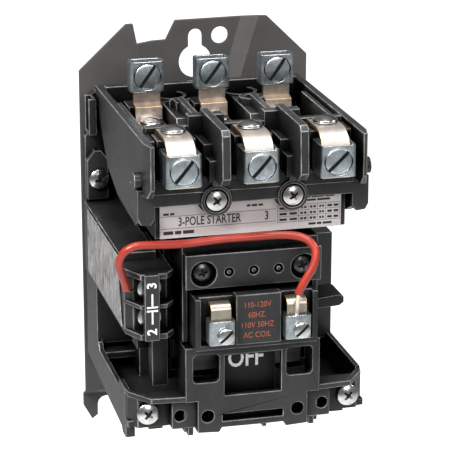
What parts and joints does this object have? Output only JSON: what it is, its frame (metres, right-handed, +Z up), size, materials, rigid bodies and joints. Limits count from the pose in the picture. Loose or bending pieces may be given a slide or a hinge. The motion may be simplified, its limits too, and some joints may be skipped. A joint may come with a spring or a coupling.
{
  "type": "magnetic motor starter",
  "caption": "Open three-pole magnetic motor starter: moulded contact block over a solenoid coil on a keyhole mounting plate, with a lifting contact carrier.",
  "frame": {"origin": "back face of the mounting plate's centre tongue, on the plate's centreline, 3 mm below the keyhole: the plane of the panel it is screwed to", "axes": "+X right seen from the front, +Y into the panel, +Z up"},
  "size_m": [0.0911, 0.108, 0.1565],
  "materials": {
    "plate_paint": "satin dark grey",
    "phenolic": "moulded black phenolic with a slight sheen",
    "carrier_plastic": "moulded black",
    "coil_resin": "moulded black resin",
    "steel": "plain steel",
    "label_foil": "printed foil",
    "wire_jacket": "soft red insulation",
    "tinned_brass": "tinned brass",
    "bronze": "dull bronze",
    "zinc": "bright zinc plate",
    "nickel": "nickel plate"
  },
  "bodies": {
    "starter_body": {"mounting_plate": "plate_paint", "base_housing": "phenolic", "contact_block": "phenolic", "coil_cover": "phenolic", "coil": "coil_resin", "magnet_yoke": "steel", "aux_contact_block": "phenolic", "side_label": "label_foil", "jumper_wire": "wire_jacket", "nameplate": "label_foil", "load_strap_left": "tinned_brass", "line_strap_left": "bronze", "load_lug_left": "zinc", "line_lug_left": "zinc", "load_strap_screw_left": "nickel", "line_strap_screw_left": "nickel", "load_strap_middle": "tinned_brass", "line_strap_middle": "bronze", "load_lug_middle": "zinc", "line_lug_middle": "zinc", "load_strap_screw_middle": "nickel", "line_strap_screw_middle": "nickel", "load_strap_right": "tinned_brass", "line_strap_right": "bronze", "load_lug_right": "zinc", "line_lug_right": "zinc", "load_strap_screw_right": "nickel", "line_strap_screw_right": "nickel", "coil_strap_left": "tinned_brass", "coil_lug_left": "zinc", "captive_screw_left": "nickel", "cover_screw_left": "steel", "foot_screw_left": "nickel", "flange_screw_left": "nickel", "coil_strap_right": "tinned_brass", "coil_lug_right": "zinc", "captive_screw_right": "nickel", "cover_screw_right": "steel", "foot_screw_right": "nickel", "flange_screw_right": "nickel"},
    "carrier": {"contact_carrier": "carrier_plastic", "armature": "steel", "moving_contact_left": "nickel", "moving_contact_middle": "nickel", "moving_contact_right": "nickel", "contact_spring_left": "steel", "contact_spring_middle": "steel", "contact_spring_right": "steel"},
    "aux_plunger": {"aux_plunger": "carrier_plastic"},
    "load_lug_screw_left": {"load_lug_screw_left": "zinc"},
    "line_lug_screw_left": {"line_lug_screw_left": "zinc"},
    "load_lug_screw_middle": {"load_lug_screw_middle": "zinc"},
    "line_lug_screw_middle": {"line_lug_screw_middle": "zinc"},
    "load_lug_screw_right": {"load_lug_screw_right": "zinc"},
    "line_lug_screw_right": {"line_lug_screw_right": "zinc"},
    "coil_lug_screw_left": {"coil_lug_screw_left": "zinc"},
    "coil_lug_screw_right": {"coil_lug_screw_right": "zinc"},
    "aux_terminal_screw_upper": {"aux_terminal_screw_upper": "nickel"},
    "aux_terminal_screw_lower": {"aux_terminal_screw_lower": "nickel"}
  },
  "joints": [
    {"name": "carrier_lift", "type": "slide", "parent": "starter_body", "child": "carrier", "axis": [0, 0, 1], "range_m": [0, 0.0055]},
    {"name": "aux_push", "type": "slide", "parent": "starter_body", "child": "aux_plunger", "axis": [0, 0, 1], "range_m": [0, 0.0055]},
    {"name": "load_lug_left_turn", "type": "hinge", "parent": "starter_body", "child": "load_lug_screw_left", "pos_m": [-0.0264, -0.1018, -0.003], "axis": [0, -1, 0], "range_deg": [0, 810]},
    {"name": "line_lug_left_turn", "type": "hinge", "parent": "starter_body", "child": "line_lug_screw_left", "pos_m": [-0.0239, -0.0341, 0.0131], "axis": [0, -1, 0], "range_deg": [0, 810]},
    {"name": "load_lug_middle_turn", "type": "hinge", "parent": "starter_body", "child": "load_lug_screw_middle", "pos_m": [0, -0.1018, -0.003], "axis": [0, -1, 0], "range_deg": [0, 810]},
    {"name": "line_lug_middle_turn", "type": "hinge", "parent": "starter_body", "child": "line_lug_screw_middle", "pos_m": [0, -0.0341, 0.0131], "axis": [0, -1, 0], "range_deg": [0, 810]},
    {"name": "load_lug_right_turn", "type": "hinge", "parent": "starter_body", "child": "load_lug_screw_right", "pos_m": [0.0264, -0.1018, -0.003], "axis": [0, -1, 0], "range_deg": [0, 810]},
    {"name": "line_lug_right_turn", "type": "hinge", "parent": "starter_body", "child": "line_lug_screw_right", "pos_m": [0.0239, -0.0341, 0.0131], "axis": [0, -1, 0], "range_deg": [0, 810]},
    {"name": "coil_lug_left_turn", "type": "hinge", "parent": "starter_body", "child": "coil_lug_screw_left", "pos_m": [-0.0123, -0.1028, -0.0616], "axis": [0, -1, 0], "range_deg": [0, 810]},
    {"name": "coil_lug_right_turn", "type": "hinge", "parent": "starter_body", "child": "coil_lug_screw_right", "pos_m": [0.0143, -0.1028, -0.0616], "axis": [0, -1, 0], "range_deg": [0, 810]},
    {"name": "aux_terminal_upper_turn", "type": "hinge", "parent": "starter_body", "child": "aux_terminal_screw_upper", "pos_m": [-0.0352, -0.0863, -0.0476], "axis": [0, -1, 0], "range_deg": [0, 810]},
    {"name": "aux_terminal_lower_turn", "type": "hinge", "parent": "starter_body", "child": "aux_terminal_screw_lower", "pos_m": [-0.0352, -0.0863, -0.058], "axis": [0, -1, 0], "range_deg": [0, 810]}
  ],
  "couplings": [
    {"joint": "aux_push", "follows": "carrier_lift", "ratio": 1}
  ]
}
